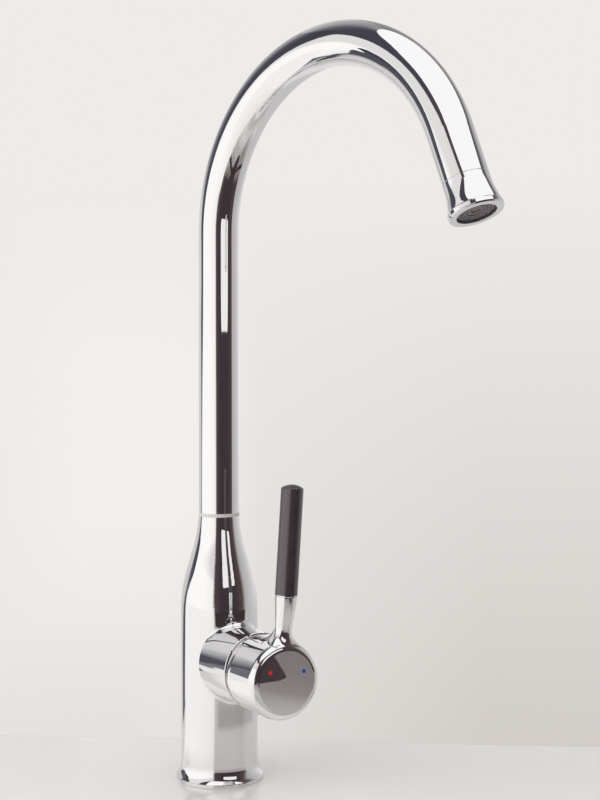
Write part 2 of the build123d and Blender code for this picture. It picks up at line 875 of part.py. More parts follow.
def make_aerator_rings():
    low = washer_end + aerator_lip + screen_thickness
    web_end = low + ring_web
    outer = mouth_radius - running_gap - aerator_wall - running_gap
    insert = pipe(low, web_end, outer, jet_radius + running_gap)
    for radius in ring_outer_radii:
        insert += pipe(low, web_end + ring_depth, radius, radius - ring_width)
    holes = []
    for radius in ring_outer_radii:
        gap_middle = radius - ring_width - (ring_outer_radii[0] - ring_outer_radii[1] - ring_width) / 2
        if gap_middle < jet_radius + web_hole_radius:
            continue
        count = int(2 * pi * gap_middle / screen_row_pitch)
        for index in range(count):
            spot = Rot(0, 0, index * 360 / count) * Pos(gap_middle, 0, 0)
            holes.append(spot * rod(low - over, web_end + over, web_hole_radius))
    return insert - holes


def make_jet():
    socket_end = jet_socket_start + jet_socket_length
    jet = rod(jet_socket_start, socket_end, jet_socket_radius) + rod(socket_end, aerator_front, jet_radius)
    jet -= rod(jet_socket_start - over, socket_end - over, small_tube_radius + running_gap)
    return jet - rod(socket_end - 2 * over, aerator_front + over, jet_bore)


# ---- every piece in its place ----
def placed(frame, shape):
    """Put one piece, or a group of like pieces, in its place."""
    if isinstance(shape, list):
        return Compound(children=[frame * item for item in shape])
    return frame * shape


deck_frame = Pos(0, 0, 0)
pieces = {
    "body_casting": (deck_frame, make_body()),
    "base_ring": (deck_frame, make_base_ring()),
    "base_seal": (deck_frame, make_base_seal()),
    "swivel_ring": (deck_frame, make_swivel_ring()),
    "spout_retaining_screw": (keep_screw_frame, make_keep_screw()),
    "filter_spigot": (deck_frame, make_filter_spigot()),
    "filter_spigot_seals": (deck_frame, make_filter_spigot_seals()),
    "cartridge_base": (hub_frame, make_cartridge_base()),
    "cartridge_port_seals": (hub_frame, make_port_seals()),
    "fixed_disc_seals": (hub_frame, make_disc_seals()),
    "ceramic_fixed_disc": (hub_frame, make_fixed_disc()),
    "cartridge_housing": (hub_frame, make_housing()),
    "cartridge_nut": (hub_frame, make_nut()),
    "dome_cover": (hub_frame, make_dome()),
    "dome_seal": (hub_frame, make_dome_seal()),
    "cartridge_rotor": (turned_frame, make_rotor()),
    "rotor_slip_ring": (turned_frame, make_slip_ring()),
    "stem_pivot_pin": (turned_frame, make_pin()),
    "disc_carrier": (turned_frame, make_carrier()),
    "ceramic_moving_disc": (turned_frame, make_moving_disc()),
    "cartridge_stem": (turned_frame, make_stem()),
    "handle_hub": (turned_frame, make_handle_hub()),
    "hub_set_screw": (turned_frame * screw_frame, make_hub_screw()),
    "set_screw_plug": (turned_frame * screw_frame, make_screw_plug()),
    "hot_mark": (turned_frame, mark_solid(-1)),
    "cold_mark": (turned_frame, mark_solid(1)),
    "grip_collar": (lever_frame, make_collar()),
    "lever_grip": (lever_frame, make_grip()),
    "grip_stud": (lever_frame, make_grip_stud()),
    "spout_tube": (deck_frame, spout_pipe(swivel_top, 0, spout_radius, spout_bore)),
    "spout_tail": (spout_frame, make_tail()),
    "spout_o_rings": (spout_frame, make_tail_seals()),
    "spout_slip_rings": (spout_frame, make_slip_rings()),
    "filtered_tube_socket": (spout_frame, make_small_socket()),
    "filtered_water_tube": (
        deck_frame,
        spout_pipe(
            small_tube_start,
            jet_socket_start + jet_socket_length - over,
            small_tube_radius,
            small_tube_radius - small_tube_wall,
        ),
    ),
    "tube_spacers": (deck_frame, make_spacers()),
    "outlet_nozzle": (outlet_frame, make_nozzle()),
    "nozzle_o_ring": (outlet_frame, make_nozzle_seal()),
    "aerator_washer": (outlet_frame, make_washer()),
    "aerator_housing": (outlet_frame, make_aerator_housing()),
    "aerator_screen": (outlet_frame, make_screen()),
    "aerator_rings": (outlet_frame, make_aerator_rings()),
    "filtered_jet": (outlet_frame, make_jet()),
}

for name, (frame, shape) in pieces.items():
    export_step(placed(frame, shape), f"parts/{name}.step")
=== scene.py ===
"""Three-way filtered water tap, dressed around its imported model."""
import json
from math import cos, pi, radians, sin, tan

import bmesh
import bpy
from mathutils import Matrix, Vector


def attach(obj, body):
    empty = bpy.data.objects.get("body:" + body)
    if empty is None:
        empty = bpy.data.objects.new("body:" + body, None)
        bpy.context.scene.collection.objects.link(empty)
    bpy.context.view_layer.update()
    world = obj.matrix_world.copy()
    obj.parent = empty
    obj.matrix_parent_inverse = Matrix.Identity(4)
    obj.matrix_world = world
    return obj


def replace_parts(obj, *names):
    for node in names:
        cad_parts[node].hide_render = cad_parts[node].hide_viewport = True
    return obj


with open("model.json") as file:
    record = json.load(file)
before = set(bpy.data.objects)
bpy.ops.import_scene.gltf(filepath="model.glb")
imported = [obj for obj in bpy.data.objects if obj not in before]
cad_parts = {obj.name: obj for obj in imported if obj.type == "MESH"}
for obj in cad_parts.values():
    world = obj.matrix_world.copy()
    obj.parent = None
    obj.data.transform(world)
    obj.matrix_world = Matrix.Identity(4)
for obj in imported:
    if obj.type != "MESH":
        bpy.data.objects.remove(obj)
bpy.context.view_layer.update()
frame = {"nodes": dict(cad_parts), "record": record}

MM = 0.001
DEGREES = 180 / pi

# ---- where the camera stands; headings are in degrees from +X ----
CAMERA_PLACE = Vector((-0.3764, -0.7268, 0.2552))
CAMERA_HEADING = 59.11
CAMERA_PITCH = -1.45
CAMERA_LENS = 59.4
CAMERA_FILM = 36.0
CAMERA_CLIP = 0.01

AHEAD = Vector((cos(radians(CAMERA_HEADING)), sin(radians(CAMERA_HEADING)), 0.0))
TO_RIGHT = Vector((AHEAD.y, -AHEAD.x, 0.0))
UP = Vector((0.0, 0.0, 1.0))


# ---- small helpers for shader nodes ----
class Shader:
    """A node tree with short calls for the nodes that the finishes share."""

    def __init__(self, tree):
        self.nodes = tree.nodes
        self.links = tree.links

    def add(self, kind, **settings):
        node = self.nodes.new(kind)
        for key, value in settings.items():
            setattr(node, key, value)
        return node

    def feed(self, socket, value):
        """Link an output socket into an input, or set the input's own value."""
        if isinstance(value, bpy.types.NodeSocket):
            self.links.new(value, socket)
        else:
            socket.default_value = value

    def noise(self, vector, scale, detail=2.0, roughness=0.5):
        node = self.add("ShaderNodeTexNoise")
        self.feed(node.inputs["Vector"], vector)
        self.feed(node.inputs["Scale"], scale)
        self.feed(node.inputs["Detail"], detail)
        self.feed(node.inputs["Roughness"], roughness)
        return node.outputs["Fac"]

    def math(self, operation, first, second=0.0, third=0.0):
        node = self.add("ShaderNodeMath", operation=operation)
        for socket, value in zip(node.inputs, (first, second, third)):
            self.feed(socket, value)
        return node.outputs["Value"]

    def total(self, first, *others):
        for other in others:
            first = self.math("ADD", first, other)
        return first

    def product(self, first, *others):
        for other in others:
            first = self.math("MULTIPLY", first, other)
        return first

    def between(self, value, start, end, before, after):
        """Map a value from one range to another, held at the ends."""
        node = self.add("ShaderNodeMapRange")
        for name, item in (
            ("Value", value), ("From Min", start), ("From Max", end), ("To Min", before), ("To Max", after)
        ):
            self.feed(node.inputs[name], item)
        return node.outputs["Result"]

    def ramps(self, value, *ramps):
        """The value's level on each ramp; a ramp is (start, end, level before, level after)."""
        return [self.between(value, *ramp) for ramp in ramps]

    def blend(self, factor, first, second):
        node = self.add("ShaderNodeMix", data_type="RGBA")
        self.feed(node.inputs["Factor"], factor)
        self.feed(node.inputs[6], first)
        self.feed(node.inputs[7], second)
        return node.outputs[2]

    def vector(self, operation, first, second=None):
        node = self.add("ShaderNodeVectorMath", operation=operation)
        self.feed(node.inputs[0], first)
        if second is not None:
            self.feed(node.inputs[1], second)
        return node.outputs["Value" if operation in ("LENGTH", "DOT_PRODUCT") else "Vector"]

    def dot(self, vector, direction):
        return self.vector("DOT_PRODUCT", vector, direction)

    def rise_of(self, heading):
        """Degrees by which a direction points above the level."""
        return self.math("MULTIPLY", self.math("ARCSINE", self.dot(heading, UP)), DEGREES)

    def turn_of(self, right, nearer):
        """Degrees round the tap, from -180 to 180: 0 towards the camera, positive to its right."""
        return self.math("MULTIPLY", self.math("ARCTAN2", right, nearer), DEGREES)

    def glow(self, colour, strength=1.0):
        node = self.add("ShaderNodeEmission")
        self.feed(node.inputs["Color"], colour)
        self.feed(node.inputs["Strength"], strength)
        return node.outputs["Emission"]

    def clear(self):
        return self.add("ShaderNodeBsdfTransparent").outputs["BSDF"]

    def mix(self, factor, first, second):
        node = self.add("ShaderNodeMixShader")
        for socket, value in zip(node.inputs, (factor, first, second)):
            self.feed(socket, value)
        return node.outputs["Shader"]

    def place(self, stretch=(1.0, 1.0, 1.0)):
        """The point's own place on the piece, in metres, stretched along its axes."""
        spot = self.add("ShaderNodeTexCoord").outputs["Object"]
        if stretch == (1.0, 1.0, 1.0):
            return spot
        node = self.add("ShaderNodeMapping")
        self.feed(node.inputs["Vector"], spot)
        node.inputs["Scale"].default_value = stretch
        return node.outputs["Vector"]


def new_group(name, inputs, outputs):
    """Shader node group; inputs are (name, kind, default) and outputs are (name, kind)."""
    tree = bpy.data.node_groups.new(name, "ShaderNodeTree")
    for label, kind, value in inputs:
        socket = tree.interface.new_socket(label, in_out="INPUT", socket_type=kind)
        if value is not None:
            socket.default_value = value
    for label, kind in outputs:
        tree.interface.new_socket(label, in_out="OUTPUT", socket_type=kind)
    shader = Shader(tree)
    return tree, shader, shader.add("NodeGroupInput").outputs, shader.add("NodeGroupOutput").inputs


FLOAT, VECTOR, COLOUR = "NodeSocketFloat", "NodeSocketVector", "NodeSocketColor"

# Scales of noise are per metre. A ramp is (start, end, level before the start, level after the end).
SMEAR_SCALE, HAZE_SCALE, DUST_SCALE = 28.0, 900.0, 2600.0
SMEAR_SHOWS, DUST_SHOWS = (0.42, 0.75, 0.0, 1.0), (0.78, 0.82, 0.0, 1.0)
HAZE_SHARE = 0.12
DRIFT_SCALE = 60.0
GRAIN_SHARE, DRIFT_SHARE = 0.6, 0.4
TONE_SHOWS = (0.3, 0.7, 0.0, 1.0)
ROUGHNESS_SPREAD = 0.1
BUMP_STRENGTH = 0.5


def make_polish_group():
    """Faint smears, polishing haze and dust specks on a plated surface."""
    tree, shader, given, out = new_group(
        "polish marks",
        [("Place", VECTOR, None), ("Roughness", FLOAT, 0.03), ("Smear", FLOAT, 0.03), ("Dust", FLOAT, 0.1)],
        [("Roughness", FLOAT)],
    )
    broad = shader.noise(given["Place"], SMEAR_SCALE, 3.0)
    fine = shader.noise(given["Place"], HAZE_SCALE, 2.0)
    speck = shader.noise(given["Place"], DUST_SCALE, 0.0)
    smear = shader.product(shader.between(broad, *SMEAR_SHOWS), given["Smear"])
    haze = shader.math("MULTIPLY_ADD", fine, shader.product(given["Smear"], HAZE_SHARE), smear)
    dust = shader.product(shader.between(speck, *DUST_SHOWS), given["Dust"])
    shader.feed(out["Roughness"], shader.total(haze, dust, given["Roughness"]))
    return tree


def make_grain_group():
    """Grain of a moulded, cast or ground surface, with a tone that drifts over the piece."""
    tree, shader, given, out = new_group(
        "surface grain",
        [
            ("Place", VECTOR, None), ("Grain", FLOAT, 1500.0), ("Roughness", FLOAT, 0.4),
            ("Spread", FLOAT, 0.1), ("Dark", COLOUR, (0.1, 0.1, 0.1, 1.0)),
            ("Light", COLOUR, (0.2, 0.2, 0.2, 1.0)),
        ],
        [("Colour", COLOUR), ("Roughness", FLOAT), ("Height", FLOAT)],
    )
    grain = shader.noise(given["Place"], given["Grain"], 3.0, 0.6)
    drift = shader.noise(given["Place"], DRIFT_SCALE, 2.0)
    mixed = shader.total(shader.product(grain, GRAIN_SHARE), shader.product(drift, DRIFT_SHARE))
    tone = shader.between(mixed, *TONE_SHOWS)
    shader.feed(out["Colour"], shader.blend(tone, given["Dark"], given["Light"]))
    spread = shader.product(shader.math("SUBTRACT", drift, 0.5), given["Spread"])
    shader.feed(out["Roughness"], shader.total(spread, given["Roughness"]))
    shader.feed(out["Height"], grain)
    return tree


polish_group = make_polish_group()
grain_group = make_grain_group()


def new_material(name):
    material = bpy.data.materials.new(name)
    material.use_nodes = True
    shader = Shader(material.node_tree)
    return material, shader, shader.nodes["Principled BSDF"]


def use_group(shader, tree, **values):
    node = shader.add("ShaderNodeGroup", node_tree=tree)
    for label, value in values.items():
        shader.feed(node.inputs[label], value)
    return node.outputs


def add_grain(shader, surface, place, dark, light, roughness, grain, depth):
    """Give a surface the grain's roughness and relief, and hand back its colour."""
    marks = use_group(
        shader, grain_group, Place=place, Grain=grain, Roughness=roughness, Spread=ROUGHNESS_SPREAD,
        Dark=(*dark, 1.0), Light=(*light, 1.0),
    )
    shader.feed(surface.inputs["Roughness"], marks["Roughness"])
    bump = shader.add("ShaderNodeBump")
    bump.inputs["Strength"].default_value = BUMP_STRENGTH
    bump.inputs["Distance"].default_value = depth
    shader.feed(bump.inputs["Height"], marks["Height"])
    shader.feed(surface.inputs["Normal"], bump.outputs["Normal"])
    return marks["Colour"]


def plated(name, colour, roughness, smear, dust):
    """Polished plating: mirror bright, with faint smears and specks."""
    material, shader, surface = new_material(name)
    surface.inputs["Metallic"].default_value = 1.0
    surface.inputs["Base Color"].default_value = (*colour, 1.0)
    marks = use_group(
        shader, polish_group, Place=shader.place(), Roughness=roughness, Smear=smear, Dust=dust
    )
    shader.feed(surface.inputs["Roughness"], marks["Roughness"])
    return material


def grained(
    name, dark, light, roughness, grain, depth, metallic=0.0, ior=1.5, stretch=(1.0, 1.0, 1.0),
    gloss_tint=(1.0, 1.0, 1.0),
):
    """Moulded, cast, ground or rubbery surface; depth is the grain's relief in metres."""
    material, shader, surface = new_material(name)
    surface.inputs["Metallic"].default_value = metallic
    surface.inputs["IOR"].default_value = ior
    surface.inputs["Specular Tint"].default_value = (*gloss_tint, 1.0)
    colour = add_grain(shader, surface, shader.place(stretch), dark, light, roughness, grain, depth)
    shader.feed(surface.inputs["Base Color"], colour)
    return material


# The finish of each material slot of the record.
FINISHES = {
    "chrome": plated("chrome plate", (0.80, 0.795, 0.80), roughness=0.012, smear=0.035, dust=0.05),
    "black_grip": grained(
        "black grip coating", (0.022, 0.016, 0.021), (0.030, 0.023, 0.028),
        roughness=0.29, grain=3200.0, depth=0.01 * MM, ior=1.95, gloss_tint=(1.0, 0.90, 0.92),
    ),
    "white_plastic": grained(
        "white bearing ring", (0.56, 0.51, 0.48), (0.64, 0.585, 0.56),
        roughness=0.38, grain=1800.0, depth=0.01 * MM,
    ),
    "brass": grained(
        "bare brass", (0.62, 0.42, 0.17), (0.78, 0.56, 0.26),
        roughness=0.30, grain=420.0, depth=0.02 * MM, metallic=1.0, stretch=(1.0, 1.0, 6.0),
    ),
    "rubber": grained(
        "black rubber", (0.010, 0.010, 0.011), (0.022, 0.022, 0.023),
        roughness=0.62, grain=2200.0, depth=0.02 * MM,
    ),
    "grey_plastic": grained(
        "grey moulded plastic", (0.30, 0.31, 0.32), (0.38, 0.39, 0.40),
        roughness=0.45, grain=1600.0, depth=0.015 * MM,
    ),
    "ceramic": grained(
        "lapped ceramic", (0.74, 0.73, 0.70), (0.82, 0.81, 0.78),
        roughness=0.14, grain=2600.0, depth=0.004 * MM,
    ),
    "steel": grained(
        "stainless steel", (0.46, 0.455, 0.45), (0.60, 0.595, 0.59),
        roughness=0.28, grain=700.0, depth=0.01 * MM, metallic=1.0, stretch=(1.0, 1.0, 8.0),
    ),
    "set_screw_plug": grained(
        "grey screw plug", (0.33, 0.34, 0.35), (0.42, 0.43, 0.44),
        roughness=0.40, grain=1500.0, depth=0.01 * MM,
    ),
    "red_mark": grained(
        "red enamel", (0.62, 0.010, 0.016), (0.74, 0.018, 0.022),
        roughness=0.24, grain=1500.0, depth=0.006 * MM,
    ),
    "blue_mark": grained(
        "blue enamel", (0.020, 0.030, 0.34), (0.030, 0.045, 0.46),
        roughness=0.24, grain=1500.0, depth=0.006 * MM,
    ),
    "aerator_plastic": grained(
        "grey aerator plastic", (0.125, 0.106, 0.112), (0.170, 0.146, 0.154),
        roughness=0.42, grain=2000.0, depth=0.01 * MM,
    ),
    "screen_steel": grained(
        "fine steel screen", (0.58, 0.55, 0.53), (0.68, 0.65, 0.63),
        roughness=0.5, grain=3000.0, depth=0.01 * MM,
    ),
}
rim_dark = grained(
    "dark aerator rim", (0.040, 0.030, 0.040), (0.056, 0.044, 0.056),
    roughness=0.45, grain=1800.0, depth=0.01 * MM,
)


def dress_nodes():
    """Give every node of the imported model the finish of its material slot."""
    for part in frame["record"]["subparts"]:
        mesh = frame["nodes"][part["node"]].data
        mesh.materials.clear()
        mesh.materials.append(FINISHES[part["material_slot"]])


dress_nodes()


# ---- outlet: moulded face, dark rim and small jet insert, deep in the nozzle's mouth ----
SPOUT_HEADING = -78.8
BEND_START, BEND_RADIUS, BEND_ANGLE, DOWN_LEG = 336.4, 98.4, 157.5, 27.1
SPIN_STEPS = 96
CREASE_ANGLE = 30.0
EDGE_SOFTNESS, WELD_DISTANCE = 0.06, 0.001
# Lengths here are in millimetres. Outlines are (radius, distance from the nozzle's seam).
FACE_OUTLINE = (
    (4.25, 13.2), (9.20, 13.2), (9.20, 17.02), (10.18, 17.02), (10.18, 17.4), (8.45, 17.4), (8.2, 17.0),
    (7.75, 17.0), (7.5, 17.4), (6.85, 17.4), (6.6, 17.0), (6.15, 17.0), (5.9, 17.4), (5.3, 17.4),
    (5.05, 17.0), (4.25, 17.0),
)
GROOVE_FLOOR, RIDGE_TOP = 17.05, 17.35
CUP_OUTLINE = (
    (8.0, 11.8), (10.55, 11.8), (10.55, 18.45), (10.45, 18.6), (10.32, 18.6), (10.22, 18.45), (10.22, 17.0),
    (9.25, 17.0), (9.25, 12.6), (8.0, 12.6),
)
JET_OUTLINE = (
    (0.0, 15.6), (2.60, 15.6), (2.60, 16.35), (1.95, 16.35), (1.8, 16.6), (1.35, 16.6), (1.2, 16.35),
    (0.0, 16.35),
)
# Painted shade: the darker colour laid in the grooves between the face's rings.
GROOVE_PAINTED_SHADE = (0.070, 0.056, 0.060, 1.0)


def outlet_place():
    """Frame of the outlet: it starts at the nozzle's seam, and +Z runs out with the water."""
    bend = radians(BEND_ANGLE)
    reach = BEND_RADIUS * (1 - cos(bend)) + DOWN_LEG * sin(bend)
    height = BEND_START + BEND_RADIUS * sin(bend) + DOWN_LEG * cos(bend)
    away = Vector((cos(radians(SPOUT_HEADING)), sin(radians(SPOUT_HEADING)), 0.0))
    flow = away * sin(bend) + UP * cos(bend)
    seam = (away * reach + UP * height) * MM
    return Matrix.Translation(seam) @ flow.to_track_quat("Z", "Y").to_matrix().to_4x4()


def spun_piece(name, outline, finish, closed=True):
    """Spin an outline about the outlet's axis, soften its edges and put it in the nozzle."""
    build = bmesh.new()
    points = [build.verts.new((radius * MM, 0.0, along * MM)) for radius, along in outline]
    ends = points[1:] + points[:1] if closed else points[1:]
    lines = [build.edges.new(pair) for pair in zip(points, ends)]
    bmesh.ops.spin(
        build, geom=points + lines, cent=(0, 0, 0), axis=(0, 0, 1), angle=2 * pi, steps=SPIN_STEPS,
        use_merge=True,
    )
    bmesh.ops.remove_doubles(build, verts=build.verts, dist=WELD_DISTANCE * MM)
    bmesh.ops.recalc_face_normals(build, faces=build.faces)
    creases = [edge for edge in build.edges if edge.calc_face_angle(0.0) > radians(CREASE_ANGLE)]
    bmesh.ops.bevel(
        build, geom=creases, offset=EDGE_SOFTNESS * MM, segments=2, profile=0.5, affect="EDGES", material=-1
    )
    for face in build.faces:
        face.smooth = True
    bmesh.ops.transform(build, matrix=outlet_place(), verts=build.verts)
    mesh = bpy.data.meshes.new(name)
    build.to_mesh(mesh)
    build.free()
    mesh.materials.append(finish)
    piece = bpy.data.objects.new(name, mesh)
    bpy.context.scene.collection.objects.link(piece)
    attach(piece, "spout")
    return piece


def grooved_finish():
    """The outlet's own grey, with painted shade that darkens the grooves between its rings."""
    material, shader, surface = new_material("aerator face with painted groove shade")
    outlet, place = outlet_place(), shader.place()
    flow = outlet.col[2].xyz
    along = shader.math("SUBTRACT", shader.dot(place, flow), flow.dot(outlet.translation))
    ridge = shader.between(along, GROOVE_FLOOR * MM, RIDGE_TOP * MM, 0.0, 1.0)
    colour = add_grain(
        shader, surface, place, (0.140, 0.118, 0.126), (0.190, 0.162, 0.172),
        roughness=0.42, grain=1400.0, depth=0.01 * MM,
    )
    # Painted shade: the grooves take a darker colour than the ridges.
    shader.feed(surface.inputs["Base Color"], shader.blend(ridge, GROOVE_PAINTED_SHADE, colour))
    return material


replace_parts(spun_piece("aerator_face", FACE_OUTLINE, grooved_finish()), "aerator_rings")
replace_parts(spun_piece("aerator_cup", CUP_OUTLINE, rim_dark), "aerator_housing")
spun_piece("jet_insert", JET_OUTLINE, FINISHES["aerator_plastic"], closed=False)


# ---- studio: every piece here is stage, and the panels only show in reflections ----
def studio_spot(right, nearer, height):
    """A place in the studio: to the camera's right of the tap, nearer the camera, and above the table."""
    return TO_RIGHT * right - AHEAD * nearer + UP * height


def ring_spot(turn, distance, height):
    """A place round the tap; turn is in degrees from the camera's side, positive to the right."""
    return studio_spot(distance * sin(radians(turn)), distance * cos(radians(turn)), height)


def upright(turn, distance, outline):
    """Corners of an upright sheet facing the tap; places on it are (across, height)."""
    centre, across = ring_spot(turn, distance, 0.0), ring_spot(turn + 90.0, 1.0, 0.0)
    return [centre + across * aside + UP * height for aside, height in outline]


def stage_sheet(name, corners, material, rounded=0.0):
    """One flat face of stage, with its corners rounded where asked."""
    mesh = bpy.data.meshes.new(name)
    build = bmesh.new()
    face = build.faces.new([build.verts.new(corner) for corner in corners])
    if rounded:
        bmesh.ops.bevel(
            build, geom=list(face.verts), offset=rounded, segments=6, profile=0.5, affect="VERTICES",
            material=-1,
        )
    build.to_mesh(mesh)
    build.free()
    mesh.materials.append(material)
    sheet = bpy.data.objects.new(name, mesh)
    bpy.context.scene.collection.objects.link(sheet)
    return sheet


def new_stage_material(name):
    material = bpy.data.materials.new(name)
    material.use_nodes = True
    shader = Shader(material.node_tree)
    shader.nodes.clear()
    return material, shader, shader.add("ShaderNodeOutputMaterial").inputs["Surface"]


# A panel takes a colour of its own where the plating mirrors it dimly.
DIM_COLOUR = (0.96, 0.93, 1.14)
DIM_ENDS = (0.08, 0.5, 0.0, 1.0)


def light_panel(
    name, corners, colour, lighting, mirrored, pattern=None, rounded=0.0, dim_colour=DIM_COLOUR,
    clear_within=0.0,
):
    """Glowing sheet. It lights the scene evenly; the plating mirrors it with its own level and pattern.

    A ray shorter than clear_within passes through it, so that the worktop beside it doesn't mirror it.
    """
    material, shader, surface = new_stage_material(name)
    level = pattern(shader, shader.place(), mirrored) if pattern else mirrored
    path = shader.add("ShaderNodeLightPath")
    strength = shader.between(path.outputs["Is Glossy Ray"], 0.0, 1.0, lighting, level)
    tint = shader.blend(shader.between(level, *DIM_ENDS), (*dim_colour, 1.0), (*colour, 1.0))
    near = shader.math("LESS_THAN", path.outputs["Ray Length"], clear_within)
    shader.feed(surface, shader.mix(near, shader.glow(tint, strength), shader.clear()))
    sheet = stage_sheet(name, corners, material, rounded)
    sheet.visible_camera = False
    return sheet


# The side softbox stands upright on the left; places on it are (across, height).
SIDE_PANEL_TURN, SIDE_PANEL_DISTANCE = -58.5, 1.0
SIDE_PANEL_ACROSS = ring_spot(SIDE_PANEL_TURN + 90.0, 1.0, 0.0)
SIDE_PANEL_OUTLINE = (
    (-3.30, -0.95), (1.10, -0.95), (1.05, 1.00), (0.75, 0.99), (0.45, 0.94), (0.20, 0.94), (0.0, 0.99),
    (-0.20, 1.05), (-0.50, 1.13), (-0.70, 1.18), (-0.72, 0.50), (-0.80, 0.36), (-1.17, 0.17),
    (-1.55, -0.04), (-1.745, -0.155), (-1.86, -0.34), (-2.00, -0.42), (-2.35, -0.60), (-2.60, -0.75),
    (-2.90, -0.90),
)
SIDE_UPPER = (0.48, 0.62, 1.0, 0.76)
SIDE_ACROSS_RAMPS = ((-1.9, -0.85, 0.80, 1.0), (0.2, 0.88, 1.0, 0.9), (0.88, 1.06, 1.0, 0.15))


def side_pattern(shader, place, mirrored):
    across = shader.dot(place, SIDE_PANEL_ACROSS)
    upper = shader.between(shader.dot(place, UP), *SIDE_UPPER)
    return shader.product(upper, mirrored, *shader.ramps(across, *SIDE_ACROSS_RAMPS))


# The nearer part of the backdrop stands behind on the left; a dark gap parts it from the side softbox.
NEAR_BACKDROP_TURN, NEAR_BACKDROP_DISTANCE = -118.0, 0.5
NEAR_BACKDROP_ACROSS = ring_spot(NEAR_BACKDROP_TURN + 90.0, 1.0, 0.0)
NEAR_BACKDROP_OUTLINE = (
    (-0.50, -0.40), (-0.20, -0.28), (-0.06, -0.15), (-0.033, -0.08), (-0.02, -0.03), (0.012, 0.022),
    (0.034, 0.075), (0.044, 0.15), (0.055, 0.19), (0.11, 0.235), (0.16, 0.28), (0.19, 0.32),
    (0.172, 0.365), (0.20, 0.42), (0.24, 0.45), (0.22, 0.50), (0.22, 1.0), (-0.50, 1.0),
)
# Its pale part ends at a soft edge whose place across depends on the height.
NEAR_EDGE_RAMPS = (
    (-0.03, 0.12, -0.170, -0.01), (0.12, 0.17, 0.0, 0.02), (0.24, 0.30, 0.0, -0.01),
    (0.30, 0.335, 0.0, 0.04), (0.37, 0.50, 0.0, -0.09),
)
NEAR_EDGE_SOFT = 0.035
NEAR_PALE = (0.1, 0.35, 1.0, 1.12)
NEAR_DARK_LEVEL = 0.10
# Higher up it gives way to a dimmer part, brighter to its left.
NEAR_HIGH_ACROSS = ((-0.25, -0.05, 0.52, 0.18), (-0.05, 0.10, 0.0, -0.10))
NEAR_HIGH_FADE = (0.55, 1.0, 1.0, 0.75)
NEAR_HIGH_STARTS = (0.42, 0.53, 0.0, 1.0)


def near_backdrop_pattern(shader, place, mirrored):
    across, height = shader.dot(place, NEAR_BACKDROP_ACROSS), shader.dot(place, UP)
    edge = shader.total(*shader.ramps(height, *NEAR_EDGE_RAMPS))
    pale = shader.product(shader.between(height, *NEAR_PALE), mirrored)
    past_edge = shader.math("SUBTRACT", across, edge)
    low = shader.between(past_edge, -NEAR_EDGE_SOFT, NEAR_EDGE_SOFT, pale, NEAR_DARK_LEVEL)
    high = shader.total(*shader.ramps(across, *NEAR_HIGH_ACROSS))
    high = shader.product(high, shader.between(height, *NEAR_HIGH_FADE))
    share = shader.between(height, *NEAR_HIGH_STARTS)
    return shader.total(low, shader.product(share, shader.math("SUBTRACT", high, low)))


# The top softbox lies level above; places on it are (to the camera's right, nearer the camera).
TOP_PANEL_HEIGHT = 1.42
TOP_PANEL_OUTLINE = (
    (-0.78, 0.50), (-0.39, 0.06), (-0.09, -0.21), (0.10, -0.38), (0.50, -0.66), (0.87, -0.60),
    (1.43, -0.13), (1.48, 0.30), (1.20, 0.86), (0.80, 1.30), (0.12, 1.56), (-0.39, 1.66), (-0.66, 1.56),
    (-0.76, 0.95),
)
TOP_FAR_END = (-0.70, -0.40, 0.5, 1.0)


def top_pattern(shader, place, mirrored):
    return shader.product(shader.between(shader.dot(place, -AHEAD), *TOP_FAR_END), mirrored)


# The lamp stands in front on the right, upright and square to the tap.
LAMP_TURN, LAMP_HALF_TURN, LAMP_DISTANCE = 35.0, 20.0, 0.82
LAMP_HALF = LAMP_DISTANCE * tan(radians(LAMP_HALF_TURN))
LAMP_LOW, LAMP_TOP = 0.298, 0.562
LAMP_OUTLINE = (
    (-LAMP_HALF, LAMP_LOW), (LAMP_HALF, LAMP_LOW), (LAMP_HALF, LAMP_TOP), (-LAMP_HALF, LAMP_TOP),
)

# A low dark rim stands in front, too low for the bend to see much of it.
FRONT_RIM_TURNS = (9.5, 38.0, 66.0)
FRONT_RIM_DISTANCE = 0.50
FRONT_RIM_CLEAR_WITHIN = 0.36
FRONT_RIM_OUTLINE = ((-0.163, 0.0005), (0.163, 0.0005), (0.163, 0.040), (-0.163, 0.040))
FRONT_RIM_COLOUR = (1.0, 0.74, 0.76)
SOFTBOX_WHITE, TOP_WHITE, WARM_WHITE = (1.0, 0.99, 0.975), (1.0, 0.99, 0.985), (1.0, 0.985, 0.975)


